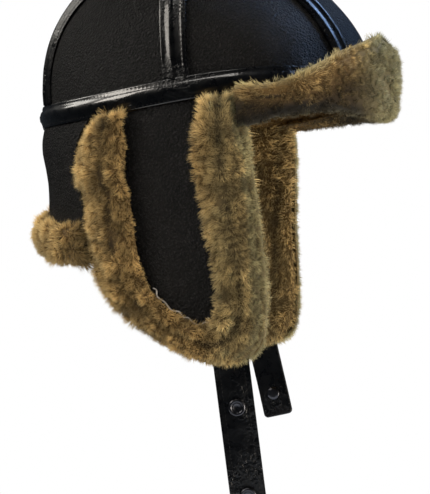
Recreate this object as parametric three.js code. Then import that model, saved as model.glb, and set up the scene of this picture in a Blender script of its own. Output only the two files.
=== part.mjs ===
// Shearling flying helmet: leather crown with taped seams, a front flap folded up as a visor,
// ear flaps with their wool turned out, a neck flap with a wool roll, and two chin straps with snaps.
// Millimetres. The wearer faces -Y, the wearer's left is +X, and up is +Z.
// Everything is laid out from a datum at the lower edge of the crown, and the finished group is
// then lowered so that its origin is the top of the hollow, where the head seats.
import * as THREE from "three";
import { mergeVertices } from "three/addons/utils/BufferGeometryUtils.js";

// Layers. Offsets are counted outwards from the outer face of the leather, and the pile's inner face
// has lumps of wool.
const leatherWall = 2;
const pileDepth = 7.2;
const layerGap = 0.3;
const pileSeat = 1;
const pileLump = 1.6;
const pileInset = 0.08;

// Crown
const crownHalfLength = 113.5;
const crownHalfWidth = 91;
const domeHeight = 99.5;
const domeFullness = 0.8;
const widestLine = 4.7;
const crownLean = 0.1;
const crownForward = 2.4;
const seamSpread = 92.5;

// Glossy tapes over the seams
const tapeWidth = 16.4;
const tapeHeight = 2.2;
const tapeSeat = 0.6;
const bandWidth = 14;
const bandMean = 2.4;
const bandRise = 8.6;
const bandDip = 2.6;

// Ear flaps
const earFlapLength = 160;
const earFlapReach = 56;
const earFlapInward = 15;
const trimHeight = 9.4;
const trimSeat = 1.9;
const trimOverhang = 0.25;

// Neck flap
const neckFlapLength = 78;
const neckFlapDroop = 12;
const neckRollHeight = 25;
const neckRollThickness = 11;
const neckRollSeat = 0.7;
const neckLeatherShort = 5;
const neckPileShort = 1;

// Visor
const visorEnd = 43.7;
const visorEndAngle = 68;
const visorTempleTop = 7.4;
const visorRise = 38;
const visorFoldFront = 3.7;
const visorFoldTemple = 15;
const visorAskew = 7.4;
const visorStandOff = 3.8;
const visorPile = 4.2;
const visorUnderPile = 4.2;
const visorBareTop = 4.6;

// Chin straps and snaps
const strapWidth = 21.5;
const strapThickness = 2.4;
const strapCorner = 3;
const strapInward = 4.5;
const strapRight = { along: -0.54, forward: 6.5, length: 101, snaps: ["lower", "upper"] };
const strapLeft = { along: -0.4, forward: 14, length: 58, snaps: [""] };
const snapRadius = 5.2;
const snapFloorRadius = 2.3;
const snapPostRadius = 2;
const snapCapHeight = 2;
const snapBackHeight = 1.1;
const snapEndMargin = 16.5;
const snapPitch = 54;

const seamAngle = Math.asin(seamSpread / 2 / crownHalfWidth);
const radians = THREE.MathUtils.degToRad;
const lerp = THREE.MathUtils.lerp;
const leatherIn = -leatherWall;
const pileOut = -leatherWall - pileSeat;
const pileIn = pileOut - pileDepth;

// Lower and upper edge of the band at a plan angle counted from the front
function bandCentre(theta) {
  return bandMean + bandRise * Math.cos(theta) - bandDip * Math.cos(3 * theta);
}

function bandLow(theta) {
  return bandCentre(theta) - bandWidth / 2;
}

function bandHigh(theta) {
  return bandCentre(theta) + bandWidth / 2;
}

// A point of the crown at a plan angle from the front. Climb is the way up from the widest line,
// along the dome where it is positive and down the wall where it is negative.
function crownPoint(theta, climb, offset) {
  const rise = Math.max(climb, 0) / domeHeight;
  const fall = Math.min(climb, 0);
  const share = Math.max(0, Math.cos(rise)) ** domeFullness;
  const z = widestLine + fall + (domeHeight + offset) * Math.sin(rise);
  return new THREE.Vector3(
    (crownHalfWidth + offset) * share * Math.sin(theta),
    -(crownHalfLength + offset) * share * Math.cos(theta) + crownLean * Math.max(z, 0) - crownForward,
    z,
  );
}

// A point of the crown by its height alone, for what is wrapped round it up to about half the dome
function wallPoint(theta, z, offset) {
  const climb = z - widestLine;
  const rise = climb > 0 ? domeHeight * Math.asin(climb / (domeHeight + offset)) : climb;
  return crownPoint(theta, rise, offset);
}

// A point on an arch that runs from the front rim over the top to the back rim, at a side angle.
// The turn goes from 0 to half a turn on the dome, and past either end it runs down the wall.
function rimTurn(side, z, offset) {
  const climb = z - widestLine;
  if (climb < 0) return climb / domeHeight;
  return Math.asin(climb / (domeHeight + offset) / Math.cos(side));
}

function archPoint(side, along, offset, rim) {
  const back = Math.PI - side;
  const turn = lerp(
    rimTurn(side, rim(side), offset),
    Math.PI - rimTurn(side, rim(back), offset),
    along,
  );
  if (turn < 0) return crownPoint(side, turn * domeHeight, offset);
  if (turn > Math.PI) return crownPoint(back, (Math.PI - turn) * domeHeight, offset);
  const theta = Math.atan2(Math.sin(side), Math.cos(side) * Math.cos(turn));
  return crownPoint(theta, domeHeight * Math.asin(Math.cos(side) * Math.sin(turn)), offset);
}

// Staggered locks of wool: a share from 0 between locks to 1 on a lock
function lock(across, along) {
  const row = Math.round(along);
  return 0.5 + 0.5 * Math.cos(Math.PI * (across + row)) * Math.cos(Math.PI * (along - row));
}

// Closed surface from rings of points; equal points become one vertex and empty faces are dropped
function solidFromFaces(quads, triangles) {
  const found = new Map();
  const places = [];
  const faces = [];
  const vertex = (point) => {
    const key = point.toArray().map((value) => Math.round(value * 1e4)).join(" ");
    if (!found.has(key)) {
      found.set(key, found.size);
      places.push(point.x, point.y, point.z);
    }
    return found.get(key);
  };
  const face = (a, b, c) => {
    const corners = [vertex(a), vertex(b), vertex(c)];
    if (new Set(corners).size === 3) faces.push(...corners);
  };
  for (const [a, b, c, d] of quads) {
    face(a, b, c);
    face(a, c, d);
  }
  for (const [a, b, c] of triangles) face(a, b, c);
  const corner = (index) => new THREE.Vector3().fromArray(places, 3 * index);
  let volume = 0;
  for (let i = 0; i < faces.length; i += 3) {
    volume += corner(faces[i]).dot(corner(faces[i + 1]).cross(corner(faces[i + 2])));
  }
  const geometry = new THREE.BufferGeometry();
  geometry.setAttribute("position", new THREE.Float32BufferAttribute(places, 3));
  geometry.setIndex(volume > 0 ? faces : faces.reverse());
  geometry.computeVertexNormals();
  return geometry;
}

// Wall between an outer and an inner sheet. Each sheet is a function of two shares, u and v.
function wallSolid(uSteps, vSteps, outer, inner, ring = false) {
  const quads = [];
  const sheet = (make) => Array.from({ length: uSteps + 1 }, (unused, i) => (
    Array.from({ length: vSteps + 1 }, (unusedToo, j) => make(i / uSteps, j / vSteps))
  ));
  const top = sheet(outer);
  const bottom = sheet(inner);
  for (let i = 0; i < uSteps; i += 1) {
    for (let j = 0; j < vSteps; j += 1) {
      quads.push([top[i][j], top[i + 1][j], top[i + 1][j + 1], top[i][j + 1]]);
      quads.push([bottom[i][j], bottom[i][j + 1], bottom[i + 1][j + 1], bottom[i + 1][j]]);
    }
    quads.push([top[i][0], bottom[i][0], bottom[i + 1][0], top[i + 1][0]]);
    quads.push([top[i][vSteps], top[i + 1][vSteps], bottom[i + 1][vSteps], bottom[i][vSteps]]);
  }
  if (!ring) {
    for (let j = 0; j < vSteps; j += 1) {
      quads.push([top[0][j], top[0][j + 1], bottom[0][j + 1], bottom[0][j]]);
      quads.push([top[uSteps][j], bottom[uSteps][j], bottom[uSteps][j + 1], top[uSteps][j + 1]]);
    }
  }
  return solidFromFaces(quads, []);
}

// Bar with one section carried along stations. The section is a list of [across, height],
// and place puts a point of it at a station.
function barSolid(steps, section, place, ring = false) {
  const quads = [];
  const triangles = [];
  const rows = Array.from({ length: steps + 1 }, (unused, i) => (
    section.map(([across, height], k) => place(i / steps, across, height, i, k))
  ));
  const sides = section.length;
  for (let i = 0; i < steps; i += 1) {
    for (let k = 0; k < sides; k += 1) {
      const next = (k + 1) % sides;
      quads.push([rows[i][k], rows[i][next], rows[i + 1][next], rows[i + 1][k]]);
    }
  }
  if (!ring) {
    const flat = section.map(([across, height]) => new THREE.Vector2(across, height));
    const [near, far] = THREE.ShapeUtils.isClockWise(flat) ? [0, steps] : [steps, 0];
    for (const [a, b, c] of THREE.ShapeUtils.triangulateShape(flat, [])) {
      triangles.push([rows[near][a], rows[near][b], rows[near][c]]);
      triangles.push([rows[far][c], rows[far][b], rows[far][a]]);
    }
  }
  return solidFromFaces(quads, triangles);
}

const helmet = new THREE.Group();

const finishes = {
  leather: { color: 0x1b1a1b, roughness: 0.72, metalness: 0 },
  tape: { color: 0x0d0d0f, roughness: 0.3, metalness: 0 },
  wool: { color: 0x8c7046, roughness: 0.95, metalness: 0 },
  metal: { color: 0x2a2b2e, roughness: 0.35, metalness: 0.9 },
};

function addPiece(name, geometry, finish, parent = helmet) {
  const mesh = new THREE.Mesh(geometry, new THREE.MeshStandardMaterial(finishes[finish]));
  mesh.name = name;
  parent.add(mesh);
  return mesh;
}

// Both sides are built alike: left is +X
const sides = [["right", -1], ["left", 1]];

// Crown: centre strip, four side panels and the pile inside
function crownCentre() {
  const half = seamAngle - layerGap / 2 / crownHalfWidth;
  const sheet = (offset) => (u, v) => archPoint(lerp(-half, half, v), u, offset, bandLow);
  return wallSolid(22, 6, sheet(0), sheet(leatherIn));
}

function crownSide(direction, toBack) {
  const edge = seamAngle + layerGap / 2 / crownHalfWidth;
  const middle = Math.PI / 2 - layerGap / 2 / crownHalfLength;
  const sheet = (offset) => (u, v) => {
    const turn = lerp(edge, middle, u ** 1.6);
    const theta = toBack ? Math.PI - turn : turn;
    const low = bandLow(theta) - widestLine;
    const high = domeHeight * Math.acos(Math.min(1, Math.sin(edge) / Math.sin(turn)));
    return crownPoint(direction * theta, lerp(low, high, v), offset);
  };
  return wallSolid(8, 7, sheet(0), sheet(leatherIn));
}

function crownPile() {
  const steps = 24;
  const rows = 8;
  const sheet = (offset, lumps) => (u, v) => {
    const theta = 2 * Math.PI * u;
    const quarter = domeHeight * Math.PI / 2;
    const lump = v < 1 ? lumps * lock(u * steps, v * rows) : 0;
    const drop = v < 1 ? lerp(bandLow(theta) - widestLine, quarter, v) : quarter;
    return crownPoint(theta, drop, offset + lump);
  };
  return wallSolid(steps, rows, sheet(pileOut, 0), sheet(pileIn, pileLump), true);
}

// Tapes: two stitched ridges with a groove between them
const tapeSection = [
  [-0.5, 0], [-0.5, 0.3], [-0.36, 0.5], [-0.24, 1], [-0.06, 0.25],
  [0.06, 0.25], [0.24, 1], [0.36, 0.5], [0.5, 0.3], [0.5, 0], [0, 0],
].map(([across, height]) => [across * tapeWidth, tapeSeat + height * tapeHeight]);

function seamTape(direction) {
  const rim = (theta) => bandHigh(theta) + tapeSeat;
  return barSolid(24, tapeSection, (along, across, height) => (
    archPoint(direction * (seamAngle + across / domeHeight), along, height, rim)
  ));
}

function sideTape(direction) {
  const top = domeHeight * (Math.PI / 2 - seamAngle) - tapeWidth / 2 - 3 * layerGap;
  return barSolid(8, tapeSection, (along, across, height) => {
    const low = bandHigh(Math.PI / 2 + across / crownHalfLength) + tapeSeat - widestLine;
    const climb = lerp(low, top, along);
    const reach = crownHalfLength * Math.cos(climb / domeHeight) ** domeFullness;
    const theta = Math.PI / 2 + across / reach;
    return crownPoint(direction * theta, climb, height);
  });
}

// Band: stitched lower edge, groove, ridge and flat upper margin
const bandSection = [
  [-0.5, 0], [-0.5, 0.4], [-0.34, 0.75], [-0.21, 0.35], [-0.06, 0.8], [0.1, 1], [0.25, 0.45],
  [0.5, 0.3], [0.5, 0], [0, 0],
].map(([across, height]) => [across * bandWidth, tapeSeat + height * tapeHeight]);

function bandTape() {
  return barSolid(40, bandSection, (along, across, height) => {
    const theta = 2 * Math.PI * along;
    return wallPoint(theta, bandCentre(theta) + across, height);
  }, true);
}

// Ear flap. Each row is a place on its edge, from the back of the band round the tip to the front
// of the band: along is a share of the reach towards the back, down a share of the length, and
// the second pair is where the turned-out wool ends on the leather.
const earFlapEdge = [
  { along: 0.77, down: 0.05, inAlong: 0.54, inDown: 0.03 },
  { along: 1.05, down: 0.14, inAlong: 0.58, inDown: 0.12 },
  { along: 1.15, down: 0.21, inAlong: 0.51, inDown: 0.19 },
  { along: 1.15, down: 0.32, inAlong: 0.57, inDown: 0.29 },
  { along: 1.02, down: 0.38, inAlong: 0.5, inDown: 0.36 },
  { along: 1.07, down: 0.5, inAlong: 0.46, inDown: 0.48 },
  { along: 1.0, down: 0.61, inAlong: 0.42, inDown: 0.58 },
  { along: 0.9, down: 0.72, inAlong: 0.36, inDown: 0.67 },
  { along: 0.61, down: 0.82, inAlong: 0.24, inDown: 0.74 },
  { along: 0.28, down: 0.9, inAlong: 0.08, inDown: 0.79 },
  { along: -0.05, down: 0.955, inAlong: -0.1, inDown: 0.83 },
  { along: -0.42, down: 1.0, inAlong: -0.29, inDown: 0.85 },
  { along: -0.7, down: 0.98, inAlong: -0.36, inDown: 0.82 },
  { along: -0.89, down: 0.91, inAlong: -0.41, inDown: 0.76 },
  { along: -0.92, down: 0.72, inAlong: -0.4, inDown: 0.66 },
  { along: -0.87, down: 0.47, inAlong: -0.29, inDown: 0.45 },
  { along: -0.79, down: 0.25, inAlong: -0.19, inDown: 0.24 },
  { along: -0.73, down: 0.1, inAlong: -0.24, inDown: 0.1 },
  { along: -0.68, down: 0.01, inAlong: -0.32, inDown: 0.01 },
];
const earFlapTip = 0.63;

function edgeCurve(along, down) {
  return new THREE.CatmullRomCurve3(earFlapEdge.map((row) => (
    new THREE.Vector3(0, row[along] * earFlapReach, -row[down] * earFlapLength)
  )), false, "centripetal");
}

const earFlapOuter = edgeCurve("along", "down");
const earFlapInner = edgeCurve("inAlong", "inDown");

// A place on the flap between the outer edge at 0 and the inner end of the wool at 1
function flapEdge(along, inwards) {
  return earFlapOuter.getPoint(along).lerp(earFlapInner.getPoint(along), inwards);
}

// Plan angle of the wall at a distance y behind the middle
function wallAngle(y) {
  return Math.acos(THREE.MathUtils.clamp(-(y + crownForward) / crownHalfLength, -1, 1));
}

// A point of the ear flap: its face falls from the crown wall and draws in towards the chin
function flapPoint(direction, y, z, offset) {
  const low = bandLow(wallAngle(y));
  const share = Math.max(0, low - z) / earFlapLength;
  const wall = wallPoint(wallAngle(y), low, offset);
  return new THREE.Vector3(direction * (wall.x - earFlapInward * share), y, z);
}

function flapTop(y) {
  return bandLow(wallAngle(y)) - layerGap;
}

// Rows run from the back edge to the front edge, and the first row follows the band
function flapSheet(direction, inwards, offset, lumps, lower) {
  const lastRow = 0.96;
  return (u, v) => {
    const rear = flapEdge(earFlapTip * u * lastRow, inwards);
    const front = flapEdge(1 - (1 - earFlapTip) * u * lastRow, inwards);
    const place = rear.lerp(front, v);
    const top = flapTop(place.y) - lower;
    const z = Math.min(top, lerp(top, place.z, Math.min(1, u * 6)));
    return flapPoint(direction, place.y, z, offset + lumps * lock(u * 12, v * 8));
  };
}

function earFlapLeather(direction) {
  const sheet = (offset) => flapSheet(direction, trimOverhang, offset, 0, 0);
  return wallSolid(11, 6, sheet(0), sheet(leatherIn));
}

function earFlapPile(direction) {
  return wallSolid(
    11,
    7,
    flapSheet(direction, pileInset, pileOut, 0, pileSeat),
    flapSheet(direction, pileInset, pileIn, pileLump, pileSeat),
  );
}

// The turned-out wool: two soft ridges on the face, wrapped over the edge of the leather
const trimSection = [
  [1, 0], [0.92, 0.66], [0.7, 0.95], [0.5, 0.72], [0.3, 1], [0.1, 0.86],
  [0, 0.4], [0.03, -0.12], [0.2, -0.2], [0.22, 0], [0.6, 0],
];

function earFlapTrim(direction) {
  const steps = 32;
  const strapY = (direction < 0 ? strapRight : strapLeft).along * earFlapReach;
  return barSolid(steps, trimSection, (along, across, height, station, corner) => {
    const place = flapEdge(along, across);
    const overStrap = Math.abs(place.y - strapY) < strapWidth * 1.3 && place.z < -0.8 * earFlapLength;
    const puff = 1 - 0.16 * ((station + (corner > 4 ? 1 : 0)) % 2);
    const over = trimSeat + (overStrap ? Math.max(0, height) : height) * trimHeight * puff;
    const top = flapTop(place.y) - trimSeat;
    return flapPoint(direction, place.y, along % 1 === 0 ? top : Math.min(place.z, top), over);
  });
}

// Neck flap. Down is a share of its length, and out the plan size against the crown's widest line.
const neckProfile = [
  { down: 0, out: 1 },
  { down: 0.09, out: 1.028 },
  { down: 0.2, out: 1.015 },
  { down: 0.35, out: 0.985 },
  { down: 0.5, out: 0.971 },
  { down: 1, out: 0.971 },
];
const neckDroopAngle = radians(50);
const neckCorner = radians(128);
const neckEdgeGap = 1.4;
const neckEdgeReach = 8.5;

function neckOut(down) {
  const next = Math.max(1, neckProfile.findIndex((row) => row.down >= Math.min(down, 1)));
  const [above, below] = [neckProfile[next - 1], neckProfile[next]];
  const share = (Math.min(down, 1) - above.down) / (below.down - above.down);
  return lerp(above.out, below.out, share);
}

function neckPoint(theta, z, offset) {
  const out = neckOut((bandLow(theta) - z) / neckFlapLength);
  return new THREE.Vector3(
    (crownHalfWidth * out + offset) * Math.sin(theta),
    -(crownHalfLength * out + offset) * Math.cos(theta) - crownForward,
    z,
  );
}

function neckBottom(theta) {
  const aside = Math.min(1, Math.abs(Math.PI - theta) / neckDroopAngle);
  return bandLow(Math.PI) - neckFlapLength - neckFlapDroop * Math.sin(aside * Math.PI / 2);
}

// Where the neck flap meets the back edge of the ear flap, at one height: the widest place of that
// edge a little above or below
function neckStart(z, offset) {
  let y = earFlapEdge[0].along * earFlapReach;
  for (let along = 0; along < earFlapTip; along += 0.005) {
    const place = earFlapOuter.getPoint(along);
    if (Math.abs(place.z - z) < neckEdgeReach) y = Math.max(y, place.y);
  }
  const out = neckOut(-z / neckFlapLength);
  return Math.acos(-(y + neckEdgeGap + crownForward) / (crownHalfLength * out + offset));
}

function neckSheet(offset, lumps, shorten, lower) {
  return (u, v) => {
    const side = lerp(-1, 1, u);
    const edge = neckStart(lerp(bandLow(neckCorner), neckBottom(neckCorner), v), offset);
    const theta = Math.PI + side * (Math.PI - edge);
    const z = lerp(bandLow(theta) - lower, neckBottom(theta) + shorten, v);
    return neckPoint(theta, z, offset + lumps * lock(u * 16, v * 8));
  };
}

function neckLeather() {
  const sheet = (offset) => neckSheet(offset, 0, neckLeatherShort, layerGap);
  return wallSolid(16, 6, sheet(0), sheet(leatherIn));
}

function neckPile() {
  const sheet = (offset, lumps) => neckSheet(offset, lumps, neckPileShort, pileSeat);
  return wallSolid(16, 6, sheet(pileOut, 0), sheet(pileIn, pileLump));
}

const rollSection = [
  [0, 0.05], [0.04, 0.6], [0.3, 1], [0.66, 0.95], [0.9, 0.62], [1, 0.1],
  [0.97, -0.2], [0.88, -0.2], [0.87, 0], [0.4, 0],
];

function neckTrim() {
  const steps = 28;
  return barSolid(steps, rollSection, (along, across, height, station, corner) => {
    const side = lerp(-1, 1, along);
    const edge = neckStart(neckBottom(neckCorner) + neckRollHeight * (1 - across), 0);
    const theta = Math.PI + side * (Math.PI - edge);
    const puff = 1 - 0.14 * ((station + (corner > 3 ? 1 : 0)) % 2);
    const z = neckBottom(theta) + neckRollHeight * (1 - across);
    return neckPoint(theta, z, neckRollSeat + height * neckRollThickness * puff);
  });
}

// Visor: the front flap goes down from the band, folds outwards and stands up against the crown.
// It sits a little askew: its fold is higher on the wearer's left.
const visorEndCos = Math.cos(radians(visorEndAngle));

// Share from 0 at the temples to 1 at the front
function visorFront(theta) {
  return Math.max(0, (Math.cos(theta) - visorEndCos) / (1 - visorEndCos));
}

function visorTop(theta) {
  return visorTempleTop + visorRise * visorFront(theta) ** 2.2;
}

function visorLift(theta) {
  return visorAskew * Math.sin(theta);
}

function visorFold(theta) {
  const drop = lerp(visorFoldTemple - visorAskew, visorFoldFront, visorFront(theta));
  return bandLow(theta) - Math.max(2, drop - visorLift(theta));
}

// One sheet of the folded flap: a leg at the offset inside, a half turn, and a leg outside.
// Half is the way from the middle of the fold out to the sheet. The ends stand at one distance
// before the middle, so that they lie along the ear flaps.
const foldCentre = visorStandOff / 2;
const innerLeg = 0.12;
const foldTurn = 0.28;

function visorPoint(aside, place, offset) {
  const end = Math.acos((visorEnd - crownForward) / (crownHalfLength + offset));
  const theta = aside * end;
  return wallPoint(theta, place(theta), offset);
}

function foldedSheet(half, below, top) {
  return (u, v) => {
    const aside = lerp(-1, 1, u);
    if (v <= innerLeg) {
      const down = v / innerLeg;
      const place = (theta) => lerp(bandLow(theta) - layerGap, visorFold(theta), down);
      return visorPoint(aside, place, foldCentre - half(0));
    }
    if (v <= innerLeg + foldTurn) {
      const share = (v - innerLeg) / foldTurn;
      const turn = Math.PI * share;
      const place = (theta) => visorFold(theta) - below(theta) * Math.sin(turn);
      return visorPoint(aside, place, foldCentre - half(share) * Math.cos(turn));
    }
    const share = (v - innerLeg - foldTurn) / (1 - innerLeg - foldTurn);
    const place = (theta) => lerp(visorFold(theta), top(theta), share);
    return visorPoint(aside, place, foldCentre + half(1 + share));
  };
}

function visorSkin() {
  const top = (theta) => visorTop(theta) - visorBareTop;
  const face = foldCentre;
  const wool = foldCentre + leatherWall;
  return wallSolid(
    16,
    12,
    foldedSheet(() => wool, () => wool, top),
    foldedSheet(() => face, () => face, top),
  );
}

// Depth of the pile round the fold, by the way along it: 0 to 1 the fold, 1 to 2 the outer leg
function visorWool() {
  const seat = foldCentre + leatherWall + pileSeat;
  const deep = (way) => {
    if (way < 1) return lerp(seat + pileDepth, seat + visorPile, way);
    return seat + visorPile * (1 + 1.5 * (way - 1) - 1.3 * (way - 1) ** 6);
  };
  const below = (theta) => seat + visorUnderPile - 0.5 * visorLift(theta);
  const inner = foldedSheet(() => seat, () => seat, (theta) => visorTop(theta) - 1);
  return wallSolid(20, 12, foldedSheet(deep, below, visorTop), inner);
}

// Solid turned round the z axis from a profile of [radius, height] that starts and ends on it
function turnedSolid(profile, segments) {
  const quads = [];
  const place = ([radius, height], segment) => {
    const turn = 2 * Math.PI * segment / segments;
    return new THREE.Vector3(radius * Math.cos(turn), radius * Math.sin(turn), height);
  };
  for (let i = 0; i < segments; i += 1) {
    for (let k = 0; k < profile.length - 1; k += 1) {
      const [low, high] = [profile[k], profile[k + 1]];
      quads.push([place(low, i), place(low, i + 1), place(high, i + 1), place(high, i)]);
    }
  }
  return solidFromFaces(quads, []);
}

// Snap: a cap with a round rim and a flat floor, a post through the strap and a plain back
function snapBody() {
  const face = strapThickness / 2 + layerGap;
  const floor = face + snapCapHeight / 2;
  return turnedSolid([
    [0, -face - snapBackHeight],
    [snapRadius * 0.8, -face - snapBackHeight],
    [snapRadius * 0.9, -face],
    [snapPostRadius, -face],
    [snapPostRadius, face],
    [snapRadius, face],
    [snapRadius * 0.97, face + snapCapHeight * 0.6],
    [snapRadius * 0.8, face + snapCapHeight],
    [snapRadius * 0.6, face + snapCapHeight],
    [snapFloorRadius, floor],
    [0, floor],
  ], 10);
}

// Strap, modelled flat: it hangs down -y from its top, and z is out of its face
function strapBody(length, snapPlaces) {
  const half = strapWidth / 2;
  const outline = new THREE.Shape();
  outline.moveTo(-half, 0);
  outline.lineTo(-half, -length + strapCorner);
  outline.quadraticCurveTo(-half, -length, -half + strapCorner, -length);
  outline.lineTo(half - strapCorner, -length);
  outline.quadraticCurveTo(half, -length, half, -length + strapCorner);
  outline.lineTo(half, 0);
  outline.closePath();
  for (const place of snapPlaces) {
    const hole = new THREE.Path();
    hole.absarc(0, place, snapPostRadius + layerGap, 0, 2 * Math.PI, true);
    outline.holes.push(hole);
  }
  const settings = { depth: strapThickness, bevelEnabled: false, curveSegments: 5 };
  const geometry = new THREE.ExtrudeGeometry(outline, settings);
  geometry.translate(0, 0, -strapThickness / 2);
  geometry.deleteAttribute("normal");
  geometry.deleteAttribute("uv");
  const merged = mergeVertices(geometry, 1e-4);
  merged.computeVertexNormals();
  return merged;
}

// The strap starts just under the tip of the leather and leans forwards and in towards the chin
function addStrap(side, direction, strap) {
  const foot = flapSheet(direction, trimOverhang, 0, 0, 0)(1, 0.5);
  const start = flapPoint(direction, strap.along * earFlapReach, foot.z, 0);
  const up = new THREE.Vector3(
    direction * Math.tan(radians(strapInward)),
    Math.tan(radians(strap.forward)),
    1,
  ).normalize();
  const ahead = flapPoint(direction, start.y - strapWidth / 2, start.z, 0);
  const behind = flapPoint(direction, start.y + strapWidth / 2, start.z, 0);
  const across = behind.sub(ahead).multiplyScalar(direction).projectOnPlane(up).normalize();
  const out = new THREE.Vector3().crossVectors(across, up);
  const holder = new THREE.Group();
  holder.quaternion.setFromRotationMatrix(new THREE.Matrix4().makeBasis(across, up, out));
  const dip = strapWidth / 2 * Math.tan(radians(strap.forward));
  holder.position.copy(start).addScaledVector(up, -2 * layerGap - dip);
  holder.position.addScaledVector(out, layerGap - strapThickness / 2);
  helmet.add(holder);
  const places = strap.snaps.map((unused, i) => snapEndMargin + i * snapPitch - strap.length);
  addPiece(`strap_${side}`, strapBody(strap.length, places), "tape", holder);
  strap.snaps.forEach((label, i) => {
    const snap = addPiece(["snap", label, side].filter(Boolean).join("_"), snapBody(), "metal", holder);
    snap.position.y = places[i];
  });
}

for (const [side, direction] of sides) {
  addPiece(`crown_front_${side}`, crownSide(direction, false), "leather");
  addPiece(`crown_back_${side}`, crownSide(direction, true), "leather");
  addPiece(`seam_tape_${side}`, seamTape(direction), "tape");
  addPiece(`side_tape_${side}`, sideTape(direction), "tape");
  addPiece(`ear_flap_${side}`, earFlapLeather(direction), "leather");
  addPiece(`ear_flap_wool_${side}`, earFlapPile(direction), "wool");
  addPiece(`ear_flap_trim_${side}`, earFlapTrim(direction), "wool");
}
addPiece("crown_centre", crownCentre(), "leather");
addPiece("crown_wool", crownPile(), "wool");
addPiece("band_tape", bandTape(), "tape");
addPiece("neck_flap", neckLeather(), "leather");
addPiece("neck_flap_wool", neckPile(), "wool");
addPiece("neck_flap_trim", neckTrim(), "wool");
addPiece("visor_skin", visorSkin(), "leather");
addPiece("visor_wool", visorWool(), "wool");
addStrap("right", -1, strapRight);
addStrap("left", 1, strapLeft);

// The origin is the top of the hollow
helmet.position.copy(crownPoint(0, domeHeight * Math.PI / 2, pileIn)).negate();

export default helmet;
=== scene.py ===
import math
import bpy
import numpy as np
from mathutils import Matrix, Vector, kdtree, noise


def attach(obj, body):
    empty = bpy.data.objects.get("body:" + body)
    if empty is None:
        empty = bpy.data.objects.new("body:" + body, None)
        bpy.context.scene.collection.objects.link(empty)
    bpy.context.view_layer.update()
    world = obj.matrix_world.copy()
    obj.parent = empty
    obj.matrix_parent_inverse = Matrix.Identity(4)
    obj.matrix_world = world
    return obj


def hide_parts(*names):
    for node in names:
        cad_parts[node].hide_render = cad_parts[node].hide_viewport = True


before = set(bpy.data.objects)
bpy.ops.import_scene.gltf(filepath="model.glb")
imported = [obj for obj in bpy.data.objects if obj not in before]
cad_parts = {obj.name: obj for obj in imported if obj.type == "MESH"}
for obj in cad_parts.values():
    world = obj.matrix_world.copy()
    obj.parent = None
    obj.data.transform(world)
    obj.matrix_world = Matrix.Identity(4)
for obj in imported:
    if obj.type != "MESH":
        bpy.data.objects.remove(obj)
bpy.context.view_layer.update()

noise.seed_set(7)  # noise_vector starts from the clock without it
print("frame loaded:", len(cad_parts), "nodes")


# Colours are written as sRGB hex and turned linear here
def linear(hexText):
    def channel(text):
        value = int(text, 16) / 255
        return value / 12.92 if value <= 0.04045 else ((value + 0.055) / 1.055) ** 2.4
    return (channel(hexText[0:2]), channel(hexText[2:4]), channel(hexText[4:6]), 1)


# Sockets are set and linked by name, or by number where a node has several of one name
def setNode(tree, node, settings=None, links=None):
    for name, value in (settings or {}).items():
        if isinstance(name, int) or name in node.inputs:
            node.inputs[name].default_value = value
        else:
            setattr(node, name, value)
    for name, socket in (links or {}).items():
        tree.links.new(socket, node.inputs[name])
    return node


def addNode(tree, kind, settings=None, links=None):
    return setNode(tree, tree.nodes.new("ShaderNode" + kind), settings, links)


def setRamp(ramp, stops):
    elements = ramp.color_ramp.elements
    while len(elements) < len(stops):
        elements.new(0.5)
    for element, (place, hexText) in zip(elements, stops):
        element.position = place
        element.color = linear(hexText)


def newMaterial(name, shader):
    material = bpy.data.materials.new(name)
    material.use_nodes = True
    tree = material.node_tree
    return material, tree, setNode(tree, tree.nodes["Principled BSDF"], shader)


# Shearling wool: crimped matt fibres, with painted shade at their roots and between the locks, and a painted
# highlight at their pale tips
woolLook = {"root": "241606", "middle": "7F6133", "tip": "C4A66D", "olive": "9A9C76", "blotchSize": 0.022}
# On the wool's points: the place from root to tip, the lock's tone times its painted shade and light, and the
# share of olive, which paints pale light on the trims' front rims and the visor
woolFields = ("tipShare", "lockToneAndShade", "oliveShare")


def makeWool(name, look):
    material, tree, body = newMaterial(name, {
        "Roughness": 0.85, "Sheen Weight": 0.25, "Sheen Roughness": 0.45,
        "Sheen Tint": linear("D8CFA8"), "Specular IOR Level": 0.25,
    })
    along, toneAndShade, olive = (addNode(tree, "Attribute", {"attribute_name": label}).outputs["Fac"]
                          for label in woolFields)
    place = addNode(tree, "TexCoord").outputs["Object"]
    blotch = addNode(tree, "TexNoise", {"Scale": 1 / look["blotchSize"], "Detail": 3},
                     {"Vector": place})
    # From root to tip: painted shade deep in the pile, and a painted highlight at the tips
    ramp = addNode(tree, "ValToRGB", {}, {"Fac": along})
    setRamp(ramp, [(0.0, look["root"]), (0.45, look["middle"]), (1.0, look["tip"])])
    tinted = addNode(tree, "Mix", {"data_type": "RGBA", "blend_type": "MIX", 7: linear(look["olive"])},
                     {"Factor": olive, 6: ramp.outputs["Color"]})
    spread = addNode(tree, "MapRange",
                     {"From Min": 0.3, "From Max": 0.7, "To Min": 0.82, "To Max": 1.15},
                     {"Value": blotch.outputs["Fac"]})
    # The colour is scaled by the tone and by the painted shade and light carried on the points
    strength = addNode(tree, "Math", {"operation": "MULTIPLY"},
                       {0: spread.outputs["Result"], 1: toneAndShade})
    shade = addNode(tree, "VectorMath", {"operation": "SCALE"},
                    {0: tinted.outputs[2], "Scale": strength.outputs["Value"]})
    setNode(tree, body, {}, {"Base Color": shade.outputs["Vector"]})
    return material
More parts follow.
